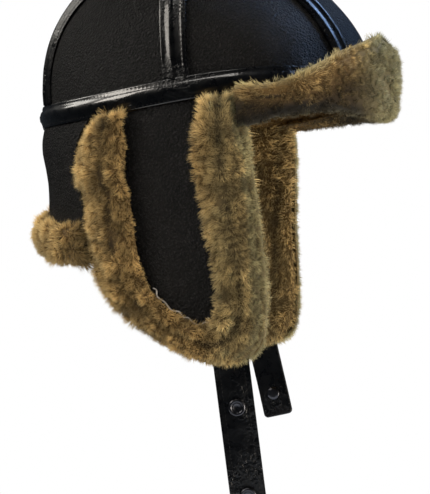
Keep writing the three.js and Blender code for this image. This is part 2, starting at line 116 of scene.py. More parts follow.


# Nappa-finished sheepskin: a thin matt resin coat over a fine grain, near black, with pale specks as painted
# glints of the grain
def makeNappa(name, grainSize, dark, paintedGlint):
    material, tree, body = newMaterial(name, {"IOR": 1.5, "Specular IOR Level": 0.24})
    place = addNode(tree, "TexCoord").outputs["Object"]
    grain = addNode(tree, "TexVoronoi", {"Scale": 1 / grainSize, "Randomness": 1.0},
                    {"Vector": place})
    pores = addNode(tree, "TexNoise", {"Scale": 1.1 / grainSize, "Detail": 4, "Roughness": 0.7},
                    {"Vector": place})
    wear = addNode(tree, "TexNoise", {"Scale": 45, "Detail": 3}, {"Vector": place})  # 22 mm patches
    # Pale specks on the pores: painted glints where the grain would catch light
    ramp = addNode(tree, "ValToRGB", {}, {"Fac": pores.outputs["Fac"]})
    setRamp(ramp, [(0.52, dark), (0.68, paintedGlint)])
    rough = addNode(tree, "MapRange",
                    {"From Min": 0.3, "From Max": 0.7, "To Min": 0.4, "To Max": 0.58},
                    {"Value": wear.outputs["Fac"]})
    height = addNode(tree, "Math", {"operation": "MULTIPLY_ADD", 1: 0.6},
                     {0: grain.outputs["Distance"], 2: pores.outputs["Fac"]})
    bump = addNode(tree, "Bump", {"Strength": 1.0, "Distance": 0.002},
                   {"Height": height.outputs["Value"]})
    setNode(tree, body, {}, {"Base Color": ramp.outputs["Color"], "Roughness": rough.outputs["Result"],
                             "Normal": bump.outputs["Normal"]})
    return material


# Patent-finished binding leather: a glossy coat over fine creases, so it mirrors lights in streaks
def makeBinding(name, creaseSize, dark, coat):
    material, tree, body = newMaterial(name, {
        "IOR": 1.5, "Specular IOR Level": 0.25, "Coat Weight": coat, "Coat Roughness": 0.12,
        "Coat IOR": 1.5, "Base Color": linear(dark),
    })
    place = addNode(tree, "TexCoord").outputs["Object"]
    crease = addNode(tree, "TexNoise", {"Scale": 1 / creaseSize, "Detail": 2, "Distortion": 1.2},
                     {"Vector": place})
    patch = addNode(tree, "TexNoise", {"Scale": 32, "Detail": 1}, {"Vector": place})  # 31 mm patches
    worn = addNode(tree, "MapRange", {"From Min": 0.45, "From Max": 0.62, "To Min": 0.12},
                   {"Value": patch.outputs["Fac"]})
    height = addNode(tree, "Math", {"operation": "MULTIPLY"},
                     {0: crease.outputs["Fac"], 1: worn.outputs["Result"]})
    rub = addNode(tree, "TexNoise", {"Scale": 160, "Detail": 2}, {"Vector": place})  # 6 mm rub marks
    rough = addNode(tree, "MapRange",
                    {"From Min": 0.35, "From Max": 0.65, "To Min": 0.22, "To Max": 0.42},
                    {"Value": rub.outputs["Fac"]})
    bump = addNode(tree, "Bump", {"Strength": 0.8, "Distance": 0.0016},
                   {"Height": height.outputs["Value"]})
    setNode(tree, body, {}, {"Roughness": rough.outputs["Result"], "Normal": bump.outputs["Normal"]})
    return material


# Gunmetal-plated brass: dark and half polished, with rub marks about 1 mm wide
def makeGunmetal(name):
    material, tree, body = newMaterial(name, {"Metallic": 1.0, "Base Color": linear("4C4D52")})
    place = addNode(tree, "TexCoord").outputs["Object"]
    rub = addNode(tree, "TexNoise", {"Scale": 900, "Detail": 3}, {"Vector": place})
    rough = addNode(tree, "MapRange", {"To Min": 0.2, "To Max": 0.42}, {"Value": rub.outputs["Fac"]})
    setNode(tree, body, {}, {"Roughness": rough.outputs["Result"]})
    return material


# The raw pale suede of a cut edge, and twisted polyester thread with a slight shine: two mottled shades
def makeMottled(name, colours, size, rough):
    material, tree, body = newMaterial(name, {"Roughness": rough})
    place = addNode(tree, "TexCoord").outputs["Object"]
    spots = addNode(tree, "TexNoise", {"Scale": 1 / size, "Detail": 3}, {"Vector": place})
    ramp = addNode(tree, "ValToRGB", {}, {"Fac": spots.outputs["Fac"]})
    setRamp(ramp, [(0.35, colours[0]), (0.65, colours[1])])
    setNode(tree, body, {}, {"Base Color": ramp.outputs["Color"]})
    return material


wool = makeWool("shearlingWool", woolLook)
nappa = makeNappa("nappaSheepskin", 0.0014, "030303", "2B2827")
binding = makeBinding("patentBindingLeather", 0.0035, "030304", 1.0)
rubbedBinding = makeBinding("rubbedBindingLeather", 0.0025, "030304", 0.45)
dullBinding = makeBinding("wornBindingLeather", 0.0035, "030304", 0.25)
gunmetal = makeGunmetal("gunmetalPlatedBrass")
rawEdge = makeMottled("rawSuedeEdge", ["6E665C", "B5ADA2"], 0.002, 0.9)
thread = makeMottled("polyesterThread", ["08080A", "141417"], 0.0008, 0.75)
print("materials made")


def deselectAll():
    if bpy.context.object and bpy.context.object.mode != "OBJECT":
        bpy.ops.object.mode_set(mode="OBJECT")
    bpy.ops.object.select_all(action="DESELECT")


def makeActive(piece):
    deselectAll()
    piece.select_set(True)
    bpy.context.view_layer.objects.active = piece


# Edit mode operators with their settings, each run on all of a piece
def editAll(piece, *steps):
    makeActive(piece)
    bpy.ops.object.mode_set(mode="EDIT")
    for operator, settings in steps:
        bpy.ops.mesh.select_all(action="SELECT")
        operator(**settings)
    bpy.ops.object.mode_set(mode="OBJECT")


mergeDoubles = (bpy.ops.mesh.remove_doubles, {"threshold": 0.00002})
faceOutwards = (bpy.ops.mesh.normals_make_consistent, {"inside": False})


def applyModifier(piece, kind, settings):
    makeActive(piece)
    modifier = piece.modifiers.new(kind.title(), kind)
    for name, value in settings.items():
        setattr(modifier, name, value)
    bpy.ops.object.modifier_apply(modifier=modifier.name)


def roundEdges(piece, width, segments):
    applyModifier(piece, "BEVEL", {"width": width, "segments": segments, "limit_method": "ANGLE",
                                   "angle_limit": math.radians(50)})


def subdivide(piece, levels):
    applyModifier(piece, "SUBSURF", {"levels": levels, "render_levels": levels})


# A copy of a solid's mesh as a new object, merged and with its triangles turned back to quads
def copyNode(node, name):
    piece = bpy.data.objects.new(name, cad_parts[node].data.copy())
    bpy.context.scene.collection.objects.link(piece)
    toQuads = (bpy.ops.mesh.tris_convert_to_quads, {"face_threshold": 0.9, "shape_threshold": 0.9})
    editAll(piece, mergeDoubles, toQuads)
    return piece


def meshPiece(name, verts, edges, faces):
    mesh = bpy.data.meshes.new(name)
    mesh.from_pydata(verts, edges, faces)
    piece = bpy.data.objects.new(name, mesh)
    bpy.context.scene.collection.objects.link(piece)
    return piece


def finishPiece(piece, material, node=None):
    piece.data.materials.clear()
    piece.data.materials.append(material)
    makeActive(piece)
    bpy.ops.object.shade_smooth()
    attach(piece, "root")
    if node:
        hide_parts(node)
    return piece


def readRows(items, label):
    rows = np.zeros(len(items) * 3)
    items.foreach_get(label, rows)
    return rows.reshape(-1, 3)


def vertexArray(piece):
    return readRows(piece.data.vertices, "co")


def normalArray(piece):
    return readRows(piece.data.vertex_normals, "vector")


def setVertices(piece, places):
    piece.data.vertices.foreach_set("co", np.asarray(places, dtype=np.float32).ravel())
    piece.data.update()


# The crown's surface, in the same terms as the solids' source, in metres
crown = {
    "halfLength": 0.1135, "halfWidth": 0.091, "domeHeight": 0.0995, "fullness": 0.8,
    "widestLine": 0.0047, "lean": 0.1, "forward": 0.0024, "seamSpread": 0.0925,
    "bandWidth": 0.014, "bandMean": 0.0024, "bandRise": 0.0086, "bandDip": 0.0026,
    "shift": (0.0, -0.0070, -0.0940),
}
seamAngle = math.asin(crown["seamSpread"] / 2 / crown["halfWidth"])


def bandCentre(theta):
    rise, dip = crown["bandRise"] * math.cos(theta), crown["bandDip"] * math.cos(3 * theta)
    return crown["bandMean"] + rise - dip


def bandHigh(theta):
    return bandCentre(theta) + crown["bandWidth"] / 2


def crownPoint(theta, climb, offset):
    rise = max(climb, 0) / crown["domeHeight"]
    share = max(0.0, math.cos(rise)) ** crown["fullness"]
    z = crown["widestLine"] + min(climb, 0) + (crown["domeHeight"] + offset) * math.sin(rise)
    x = (crown["halfWidth"] + offset) * share * math.sin(theta)
    y = -(crown["halfLength"] + offset) * share * math.cos(theta)
    y += crown["lean"] * max(z, 0) - crown["forward"]
    return Vector((x, y, z)) + Vector(crown["shift"])


def wallPoint(theta, z, offset):
    climb = z - crown["widestLine"]
    if climb > 0:
        climb = crown["domeHeight"] * math.asin(climb / (crown["domeHeight"] + offset))
    return crownPoint(theta, climb, offset)


def rimTurn(side, z, offset):
    climb = z - crown["widestLine"]
    if climb < 0:
        return climb / crown["domeHeight"]
    return math.asin(climb / (crown["domeHeight"] + offset) / math.cos(side))


def archPoint(side, along, offset):
    first = rimTurn(side, bandHigh(side), offset)
    last = math.pi - rimTurn(side, bandHigh(math.pi - side), offset)
    turn = first + (last - first) * along
    if turn < 0:
        return crownPoint(side, turn * crown["domeHeight"], offset)
    if turn > math.pi:
        return crownPoint(math.pi - side, (math.pi - turn) * crown["domeHeight"], offset)
    theta = math.atan2(math.sin(side), math.cos(side) * math.cos(turn))
    return crownPoint(theta, crown["domeHeight"] * math.asin(math.cos(side) * math.sin(turn)), offset)


# A share that goes from 0 at start to 1 over a distance; a negative distance runs the other way
def fade(values, start, over):
    return np.clip((values - start) / over, 0, 1)


def bell(values, width):
    return np.exp(-(values / width) ** 2)


# Rows of moves or leanings with a part backwards and a part up, and none across the helmet
def backAndUp(places, back, up):
    moves = np.zeros(places.shape)
    moves[:, 1], moves[:, 2] = back, up
    return moves


# Where the soft forms stand off the solids. The visor's lower edge curls up at its sides, its top edge
# waves, its ends taper backwards and its front top corner is fuller
visorForm = {
    "topAt": (-0.13, -0.118, -0.101, -0.085, -0.062, -0.045),
    "topRise": (0, 0.0005, 0.0045, 0.002, -0.0042, -0.0045),
    "endsBack": 0.007, "edgeUp": 0.0052, "cornerForward": 0.0035, "cornerUp": 0.001,
}
# The far flap's front top corner stands forwards, and the linings reach up and forwards to close the inside
flapForm = {"cornerForward": 0.0065, "liningUp": 0.008, "neckForward": 0.006}


def visorShift(places):
    y, z = places[:, 1], places[:, 2]
    side = fade(y, -0.05, -0.015) * fade(y, -0.128, 0.025)
    top = np.interp(y, visorForm["topAt"], visorForm["topRise"])
    corner = fade(y, -0.108, -0.02) * fade(z, -0.085, 0.02)
    back = visorForm["endsBack"] * fade(y, -0.065, 0.018) - visorForm["cornerForward"] * corner
    rise = visorForm["edgeUp"] * fade(z, -0.094, -0.014) * side + top * fade(z, -0.097, 0.014)
    return backAndUp(places, back, rise + visorForm["cornerUp"] * corner)


def cornerShift(places):
    top, front = fade(places[:, 2], -0.17, 0.06), fade(places[:, 1], -0.015, -0.02)
    return backAndUp(places, -flapForm["cornerForward"] * top * front, 0)


def liningShift(places):
    shift = cornerShift(places) * fade(places[:, :1], 0, 0.01)
    shift[:, 2] += flapForm["liningUp"] * fade(places[:, 2], -0.13, 0.015)
    return shift


def neckShift(places):
    shift = liningShift(places)
    shift[:, 1] -= flapForm["neckForward"] * fade(places[:, 1], 0.078, -0.015)
    return shift


shifts = {
    "visor_skin": visorShift, "visor_wool": visorShift, "neck_flap_wool": neckShift,
    "ear_flap_left": cornerShift, "ear_flap_trim_left": cornerShift,
    "ear_flap_wool_left": liningShift, "ear_flap_wool_right": liningShift,
}


def shiftPiece(piece, node):
    if node in shifts:
        places = vertexArray(piece)
        setVertices(piece, places + shifts[node](places))


# Leather panels: the solids' walls, rounded at their cut edges and slightly uneven as a worn skin is
panels = {
    "edgeRound": 0.0005, "levels": 2, "hiddenLevels": 1, "swell": 0.0007, "swellSize": 0.035,
    "ripple": 0.00018, "rippleSize": 0.006,
}


def unevenSkin(piece):
    places, normals = vertexArray(piece), normalArray(piece)
    for i, place in enumerate(places):
        broad = noise.noise(Vector(place / panels["swellSize"]))
        fine = noise.noise(Vector(place / panels["rippleSize"] + 7.0))
        places[i] = place + normals[i] * (panels["swell"] * broad + panels["ripple"] * fine)
    setVertices(piece, places)


def makePanel(node):
    piece = copyNode(node, node + "_skin")
    roundEdges(piece, panels["edgeRound"], 2)
    subdivide(piece, panels["hiddenLevels" if node == "visor_skin" else "levels"])
    unevenSkin(piece)
    shiftPiece(piece, node)
    return finishPiece(piece, nappa, node)


for node in ("crown_centre", "crown_front_right", "crown_front_left", "crown_back_right",
             "crown_back_left", "ear_flap_right", "ear_flap_left", "neck_flap", "visor_skin"):
    makePanel(node)
print("leather panels made")


# A grid primitive laid on a surface: along it from 0 to 1, and across from -0.5 to 0.5
def layGrid(name, columns, rows, place):
    deselectAll()
    bpy.ops.mesh.primitive_grid_add(x_subdivisions=columns, y_subdivisions=rows, size=1, location=(0, 0, 0))
    piece = bpy.context.object
    piece.name = name
    for vertex in piece.data.vertices:
        vertex.co = place(vertex.co.x + 0.5, vertex.co.y)
    piece.data.update()
    return piece


# Tapes: stitched ridges beside a groove, puckered where each stitch pulls the leather down. The levels go
# from edge to edge, as shares of the width and the height, and thread shows along the threadRows
tape = {
    "width": 0.0164, "seat": 0.0004, "thickness": 0.0009, "stitchPitch": 0.0024, "pullWidth": 0.06,
    "drift": 0.12, "driftSize": 0.011,
}
seamTape = {
    **tape, "material": dullBinding, "length": 0.27, "step": 0.0008, "rows": 12, "height": 0.0017,
    "pucker": 0.22, "stitchRows": (-0.37, -0.1, 0.1, 0.37), "threadRows": (-0.37, 0.37),
    "levels": [(-0.5, 0.1), (-0.37, 0.3), (-0.24, 1.0), (-0.1, 0.28), (0.0, 0.2),
               (0.1, 0.28), (0.24, 1.0), (0.37, 0.3), (0.5, 0.1)],
}
sideTape = {
    **tape, "material": rubbedBinding, "length": 0.072, "step": 0.0006, "rows": 20, "height": 0.0019,
    "pucker": 0.35, "stitchRows": (-0.43, -0.26, -0.01, 0.33), "threadRows": (-0.43, 0.33), "tuck": 0.001,
    "levels": [(-0.5, 0.1), (-0.43, 0.2), (-0.34, 0.5), (-0.26, 0.2), (-0.16, 0.1), (-0.06, 0.1),
               (0.0, 0.2), (0.06, 0.7), (0.33, 0.14), (0.5, 0.1)],
}
bandTape = {
    **tape, "material": binding, "length": 0.648, "step": 0.0008, "rows": 11, "height": 0.0026,
    "pucker": 0.35, "stitchRows": (-0.4, 0.34), "threadRows": (-0.4, 0.34), "width": 0.0142,
    "levels": [(-0.5, 0.1), (-0.4, 0.2), (-0.28, 0.42), (-0.12, 0.85), (0.04, 1.0),
               (0.2, 0.75), (0.34, 0.25), (0.42, 0.3), (0.5, 0.1)],
}
hollowCentre = Vector((0, 0, -0.09))


def levelAt(levels, across):
    for (low, lowHeight), (high, highHeight) in zip(levels, levels[1:]):
        if across <= high:
            share = (across - low) / (high - low)
            share = share * share * (3 - 2 * share)
            return lowHeight + (highHeight - lowHeight) * share
    return levels[-1][1]


def tapeHeight(look, across, distance):
    height = levelAt(look["levels"], across)
    beat = 0.5 + 0.5 * math.cos(2 * math.pi * distance / look["stitchPitch"])
    near = min(abs(across - row) for row in look["stitchRows"])
    pull = math.exp(-(near / look["pullWidth"]) ** 2)
    drift = look["drift"] * noise.noise(Vector((distance / look["driftSize"], across * 2, 0.3)))
    height += drift * height
    return look["seat"] + look["height"] * height * (1 - look["pucker"] * pull * beat)


# The band closes on itself, so it is merged, and a tape that faces the hollow is turned round
def makeTape(node, look, place):
    piece = layGrid(node + "_leather", int(look["length"] / look["step"]), look["rows"],
                    lambda u, across: place(u, across, tapeHeight(look, across, u * look["length"])))
    editAll(piece, mergeDoubles)
    face = piece.data.polygons[len(piece.data.polygons) // 2]
    if (face.center - hollowCentre).dot(face.normal) < 0:
        piece.data.flip_normals()
    applyModifier(piece, "SOLIDIFY", {"thickness": look["thickness"], "offset": -1.0})
    return finishPiece(piece, look["material"], node)


def seamPlace(direction):
    return lambda u, across, height: archPoint(
        direction * (seamAngle + across * seamTape["width"] / crown["domeHeight"]), u, height)


def sidePlace(direction):
    top = crown["domeHeight"] * (math.pi / 2 - seamAngle) - sideTape["width"] / 2 + sideTape["tuck"]
    low = bandHigh(math.pi / 2) - crown["widestLine"] - sideTape["tuck"]
    def place(u, across, height):
        climb = low + (top - low) * u
        reach = crown["halfLength"] * math.cos(climb / crown["domeHeight"]) ** crown["fullness"]
        return crownPoint(direction * (math.pi / 2 + across * sideTape["width"] / reach), climb, height)
    return place


def bandPlace(u, across, height):
    theta = 2 * math.pi * u
    return wallPoint(theta, bandCentre(theta) + across * bandTape["width"], height)


sides = {"right": -1, "left": 1}
for side, sign in sides.items():
    makeTape("seam_tape_" + side, seamTape, seamPlace(sign))
    makeTape("side_tape_" + side, sideTape, sidePlace(sign))
makeTape("band_tape", bandTape, bandPlace)
print("tapes made")


# Stitches: one small flattened thread lump, copied along each row of a tape
stitch = {"length": 0.0016, "width": 0.0004, "rise": 0.00012, "crown": 1.6}


def stitchRow(places, normals):
    verts, faces = [], []
    half, wide = stitch["length"] / 2, stitch["width"] / 2
    for i in range(len(places) - 1):
        middle = (places[i] + places[i + 1]) / 2
        along = (places[i + 1] - places[i]).normalized()
        out = normals[i]
        aside = along.cross(out).normalized()
        start = len(verts)
        for share, size, lift in ((-1, 0.5, 0), (0, 1, stitch["crown"]), (1, 0.5, 0)):
            centre = middle + along * half * share + out * stitch["rise"] * lift
            for turn in range(4):
                angle = math.pi * (turn / 2 + 0.25)
                verts.append(centre + aside * wide * size * math.cos(angle)
                             + out * wide * size * math.sin(angle))
        for ring in range(2):
            for turn in range(4):
                a, b = start + ring * 4 + turn, start + ring * 4 + (turn + 1) % 4
                faces.append((a, b, b + 4, a + 4))
        faces.append(tuple(start + k for k in reversed(range(4))))
        faces.append(tuple(start + 8 + k for k in range(4)))
    return verts, faces


def sewPiece(name, verts, faces, turn=Matrix()):
    piece = meshPiece(name, verts, [], faces)
    piece.data.transform(turn)
    editAll(piece, faceOutwards)
    return finishPiece(piece, thread)


def makeStitches(name, look, place):
    verts, faces = [], []
    count = int(look["length"] / look["stitchPitch"])
    shares = [i / count for i in range(count + 1)]
    for row in look["threadRows"]:
        spots = [place(u, row, tapeHeight(look, row, u * look["length"])) for u in shares]
        lifts = [(place(u, row, 0.01) - spot).normalized() for u, spot in zip(shares, spots)]
        rowVerts, rowFaces = stitchRow(spots, lifts)
        faces += [tuple(k + len(verts) for k in face) for face in rowFaces]
        verts += rowVerts
    return sewPiece(name, verts, faces)


for side, sign in sides.items():
    makeStitches("seam_tape_" + side + "_stitches", seamTape, seamPlace(sign))
    makeStitches("side_tape_" + side + "_stitches", sideTape, sidePlace(sign))
makeStitches("band_stitches", bandTape, bandPlace)
print("stitches made")


# Wool. Fibres stand in locks: each lock has a middle, and its fibres lean together at their tips.
# A fibre is a closed three-sided spike, drawn about five times as thick as real wool so it shows.
# Loose fibres are those of the flaps' rims, which stand on their own.
fibres = {
    "thickness": 0.00018, "rootSink": 0.0006, "meetLeather": 0.0011, "valleySink": 0.0042, "sinkLimit": 0.4,
    "flowSize": 0.012, "lumpSize": 0.011, "creaseSize": 0.017, "creaseWidth": 0.07, "creaseDepth": 0.7,
    "lockGaps": (0.6, 1.35), "lockSizes": (0.72, 1.2), "lengths": (0.7, 1.1), "pulls": (0.0, 1.3),
    "flowSway": 1.6, "lockSway": 0.6, "stray": 0.34, "looseStray": 0.4, "looseLength": 0.75,
    "edgeShort": 0.25, "valleyShort": 0.35, "lumpLong": 0.35, "edgeSink": 0.6, "tipSink": 0.8,
    # Painted shade darkens the locks' edges, valleys and creases, and painted light brightens raised lumps
    # and the locks' middles
    "lockTones": (0.82, 1.14), "fibreTones": (0.85, 1.15), "middleTone": 1.16, "edgeDark": 0.5,
    "lumpBright": 0.7, "valleyDark": 0.6, "looseDark": 0.1, "olives": (0.6, 1.0),
    # The base under the fibres is painted darker as shade beneath the pile, and darker still in the valleys
    "rootShare": 0.3, "rimTip": 0.4, "baseShade": 0.8, "baseValleyDark": 0.75, "baseOlive": 0.3,
}


def flowField(places, size, shift):
    return np.array([noise.noise_vector(Vector(place) / size + Vector((shift, shift, shift)))
                     for place in places])


def lumpField(places, size, shift):
    return np.array([noise.noise(Vector(place) / size + Vector((shift, 0, shift))) for place in places])


# Points are kept only where none kept before lies too near, searched cell by cell
def spreadOut(places, spacing, dice):
    kept, cells = [], {}
    room = spacing * dice.uniform(*fibres["lockGaps"], len(places))
    around = [(dx, dy, dz) for dx in (-1, 0, 1) for dy in (-1, 0, 1) for dz in (-1, 0, 1)]
    for place, gap in zip(places, room):
        key = tuple(int(math.floor(v / spacing)) for v in place)
        near = (other for step in around
                for other in cells.get((key[0] + step[0], key[1] + step[1], key[2] + step[2]), ()))
        if not any((place[0] - other[0]) ** 2 + (place[1] - other[1]) ** 2
                   + (place[2] - other[2]) ** 2 < gap * gap for other in near):
            kept.append(place)
            cells.setdefault(key, []).append(place)
    return kept


def unit(rows):
    return rows / np.maximum(np.linalg.norm(rows, axis=1), 1e-9)[:, None]


def surfaceSamples(piece, count, weigh, dice):
    mesh = piece.data
    mesh.calc_loop_triangles()
    corners = np.zeros(len(mesh.loop_triangles) * 3, dtype=np.int32)
    mesh.loop_triangles.foreach_get("vertices", corners)
    corners = corners.reshape(-1, 3)
    places, normals = vertexArray(piece), normalArray(piece)
    a, b, c = (places[corners[:, k]] for k in range(3))
    flat = np.cross(b - a, c - a)
    size = np.linalg.norm(flat, axis=1)
    facing = flat / np.maximum(size, 1e-15)[:, None]
    weight = size / 2 * weigh((a + b + c) / 3, facing)
    chosen = dice.choice(len(corners), size=count, p=weight / weight.sum())
    first, second = dice.random(count), dice.random(count)
    swap = first + second > 1
    first[swap], second[swap] = 1 - first[swap], 1 - second[swap]
    shares = np.stack([1 - first - second, first, second], axis=1)
    picked = corners[chosen]
    at = (places[picked] * shares[:, :, None]).sum(axis=1)
    up = (normals[picked] * shares[:, :, None]).sum(axis=1)
    return at, unit(up)


def setFields(mesh, *fields):
    for label, values in zip(woolFields, fields):
        attribute = mesh.attributes.new(label, "FLOAT", "POINT")
        attribute.data.foreach_set("value", np.asarray(values, dtype=np.float32).ravel())


def spikePiece(name, roots, tips, thickness, toneAndShade, olive, dice):
    axis = unit(tips - roots)
    helper = np.where(np.abs(axis[:, 2:3]) < 0.8, np.array([[0.0, 0.0, 1.0]]), np.array([[1.0, 0.0, 0.0]]))
    aside = unit(np.cross(axis, helper))
    across = np.cross(axis, aside)
    turn = dice.random(len(roots)) * 2 * math.pi
    verts = np.zeros((len(roots), 4, 3))
    for k in range(3):
        angle = (turn + 2 * math.pi * k / 3)[:, None]
        verts[:, k] = roots + thickness * (np.cos(angle) * aside + np.sin(angle) * across)
    verts[:, 3] = tips
    start = np.arange(len(roots))[:, None] * 4
    faces = np.concatenate([start + np.array(f) for f in ([0, 1, 3], [1, 2, 3], [2, 0, 3], [2, 1, 0])])
    piece = meshPiece(name, verts.reshape(-1, 3), [], faces)
    shares = np.full((len(roots), 4), fibres["rootShare"])
    shares[:, 3] = 1
    setFields(piece.data, shares, np.repeat(toneAndShade[:, None], 4, axis=1), np.repeat(olive[:, None], 4, axis=1))
    return piece


# The visible side sinks under its fibres; the side that grows from the leather swells to meet it
def sinkBase(piece, look):
    places, normals = vertexArray(piece), normalArray(piece)
    shown = np.minimum(look["weigh"](places, normals), 1)
    depth = look["sink"] + fibres["valleySink"] * look["valley"](places)
    depth -= look["lumps"] * lumpField(places, fibres["lumpSize"], look["seed"])
    for i, place in enumerate(places):
        inward = Vector(-normals[i])
        hit, there, _, _ = piece.ray_cast(Vector(place) + inward * 1e-5, inward)
        thick = (there - Vector(place)).length if hit else 0.0
        sink = min(depth[i], fibres["sinkLimit"] * thick) * shown[i] - fibres["meetLeather"] * (1 - shown[i])
        places[i] = place - normals[i] * sink
    setVertices(piece, places)


def nearestLocks(middles, roots):
    tree = kdtree.KDTree(len(middles))
    for i, place in enumerate(middles):
        tree.insert(place, i)
    tree.balance()
    found = [tree.find(place) for place in roots]
    return np.array([lock for _, lock, _ in found]), np.array([reach for _, _, reach in found])


def leanWay(look, places, up, tangle):
    flow = flowField(places, fibres["flowSize"], look["seed"])
    return up + look["comb"](places, up) + look["tangle"] * fibres["flowSway"] * flow + tangle


# One wool piece: a base under the pile, a strip over the rim where there is one, and the fibres
def growWool(node, name, look):
    dice = np.random.default_rng(look["seed"])
    base = copyNode(node, name)
    subdivide(base, look["levels"])
    sinkBase(base, look)
    shiftPiece(base, node)

    # Where the locks and the fibres stand
    spots, _ = surfaceSamples(base, look["fibres"] // 3, look["weigh"], dice)
    middles = np.array(spreadOut(spots.tolist(), look["lock"], dice))
    roots, up = surfaceSamples(base, look["fibres"], look["weigh"], dice)
    loose = np.zeros(len(roots))
    if "rim" in look:
        rimRoots, rimUp = rimSamples(look["rim"], node, dice)
        roots, up = np.concatenate([roots, rimRoots]), np.concatenate([up, rimUp])
        loose = np.concatenate([loose, np.ones(len(rimRoots))])
    owner, reach = nearestLocks(middles, roots)
    lockUp = np.zeros((len(middles), 3))
    np.add.at(lockUp, owner, up)
    lockUp = unit(lockUp)
    lockSize = dice.uniform(*fibres["lockSizes"], len(middles))
    edge = np.clip(reach / look["lock"], 0, 1) * (1 - loose)
    lump = lumpField(roots, fibres["lumpSize"], look["seed"])
    crease = bell(lumpField(roots, fibres["creaseSize"], look["seed"] + 5), fibres["creaseWidth"])
    valley = np.maximum(look["valley"](roots), fibres["creaseDepth"] * crease)

    # Which way they lean and how long they are
    lockTangle = look["tangle"] * dice.normal(size=middles.shape) * fibres["lockSway"]
    way = unit(leanWay(look, roots, up, lockTangle[owner]))
    stray = (fibres["stray"] + fibres["looseStray"] * loose)[:, None]
    way = unit(way + stray * dice.normal(size=roots.shape))
    stretch = np.maximum(look["stretch"](roots, up), fibres["looseLength"] * loose)
    length = look["length"] * lockSize[owner] * dice.uniform(*fibres["lengths"], len(roots)) * stretch
    length *= ((1 - fibres["edgeShort"] * edge ** 2) * (1 - fibres["valleyShort"] * valley)
               * (1 + fibres["lumpLong"] * lump))
    tips = roots + way * length[:, None]

    # A lock's fibres are drawn towards its tip, and those at its edge are rooted deeper
    lockWay = unit(leanWay(look, middles, lockUp, lockTangle))
    lockLength = look["length"] * lockSize * look["stretch"](middles, lockUp)
    lockTips = middles + lockWay * lockLength[:, None]
    pull = look["pull"] * dice.uniform(*fibres["pulls"], len(roots)) * (1 - loose)
    tips += (lockTips[owner] - tips) * pull[:, None]
    sunk = look["crevice"] * fibres["edgeSink"] * edge ** 2
    roots = roots - up * (fibres["rootSink"] + sunk)[:, None]
    tips = tips - up * (fibres["tipSink"] * sunk)[:, None]

    # Their shades: random tones, painted shade at the locks' edges and in valleys and creases, painted light
    # on raised lumps, and each piece's painted shade field
    toneAndShade = look["toneAndShade"] * dice.uniform(*fibres["lockTones"], len(middles))[owner]
    toneAndShade *= fibres["middleTone"] - fibres["edgeDark"] * edge ** 2
    toneAndShade *= dice.uniform(*fibres["fibreTones"], len(roots)) * (1 + fibres["lumpBright"] * lump)
    toneAndShade *= (1 - fibres["valleyDark"] * valley) * (1 - fibres["looseDark"] * loose) * look["shade"](roots, up)
    olive = look["olive"](roots, up) * dice.uniform(*fibres["olives"], len(roots))
    spikes = spikePiece(name + "_spikes", roots, tips, fibres["thickness"] * look["thick"], toneAndShade, olive, dice)

    parts = [base] + ([rimStrip(look["rim"], node)] if "rim" in look else [])
    # The base and the rim strip: painted shade under the pile, darker in the valleys, times each piece's
    # painted shade field
    for part in parts:
        places, normals = vertexArray(part), normalArray(part)
        valley = 1 - fibres["baseValleyDark"] * look["valley"](places)
        setFields(part.data, np.full(len(places), look["baseTip"] if part is base else fibres["rimTip"]),
                  fibres["baseShade"] * valley * look["shade"](places, normals),
                  fibres["baseOlive"] * look["olive"](places, normals))
    deselectAll()
    for part in parts + [spikes]:
        part.select_set(True)
    bpy.context.view_layer.objects.active = base
    bpy.ops.object.join()
    finishPiece(base, wool, node)
    triangles = sum(len(p.vertices) - 2 for p in base.data.polygons)
    print(name, "locks", len(middles), "triangles", triangles)
    return base


# Which faces of a wool solid carry fibres: those that face out to one side, into the hollow, away from
# the middle, or away and down
def facingOut(sign):
    return lambda centre, facing: fade(facing[:, 0] * sign, -0.35, 0.5)


def facingIn(centre, facing):
    flat = unit(centre * np.array([1.0, 1.0, 0.35]) + np.array([0, 0, 0.035]))
    return fade(-(flat * facing).sum(axis=1), -0.1, 0.4)


def facingAway(centre, facing):
    flat = unit(centre * np.array([1.0, 1.0, 0.0]))
    return fade((flat * facing).sum(axis=1), -0.45, 0.5)


def facingAwayOrDown(centre, facing):
    return np.maximum(facingAway(centre, facing), fade(facing[:, 2], -0.1, -0.3))


def evenly(amount):
    return lambda place, *up: np.full(len(place), amount)


def droop(amount):
    return lambda place, up: backAndUp(place, 0, -amount)


# The ear flap's edges, as in the solids' source: the outer edge and the inner end of the turned wool
earFlap = {
    "length": 0.160, "reach": 0.056, "inward": 0.015,
    "edge": [
        (0.77, 0.05, 0.54, 0.03), (1.05, 0.14, 0.58, 0.12), (1.15, 0.21, 0.51, 0.19),
        (1.15, 0.32, 0.57, 0.29), (1.02, 0.38, 0.5, 0.36), (1.07, 0.5, 0.46, 0.48),
        (1.0, 0.61, 0.42, 0.58), (0.9, 0.72, 0.36, 0.67), (0.61, 0.82, 0.24, 0.74),
        (0.28, 0.9, 0.08, 0.79), (-0.05, 0.955, -0.1, 0.83), (-0.42, 1.0, -0.29, 0.85),
        (-0.7, 0.98, -0.36, 0.82), (-0.89, 0.91, -0.41, 0.76), (-0.92, 0.72, -0.4, 0.66),
        (-0.87, 0.47, -0.29, 0.45), (-0.79, 0.25, -0.19, 0.24), (-0.73, 0.1, -0.24, 0.1),
        (-0.68, 0.01, -0.32, 0.01),
    ],
}


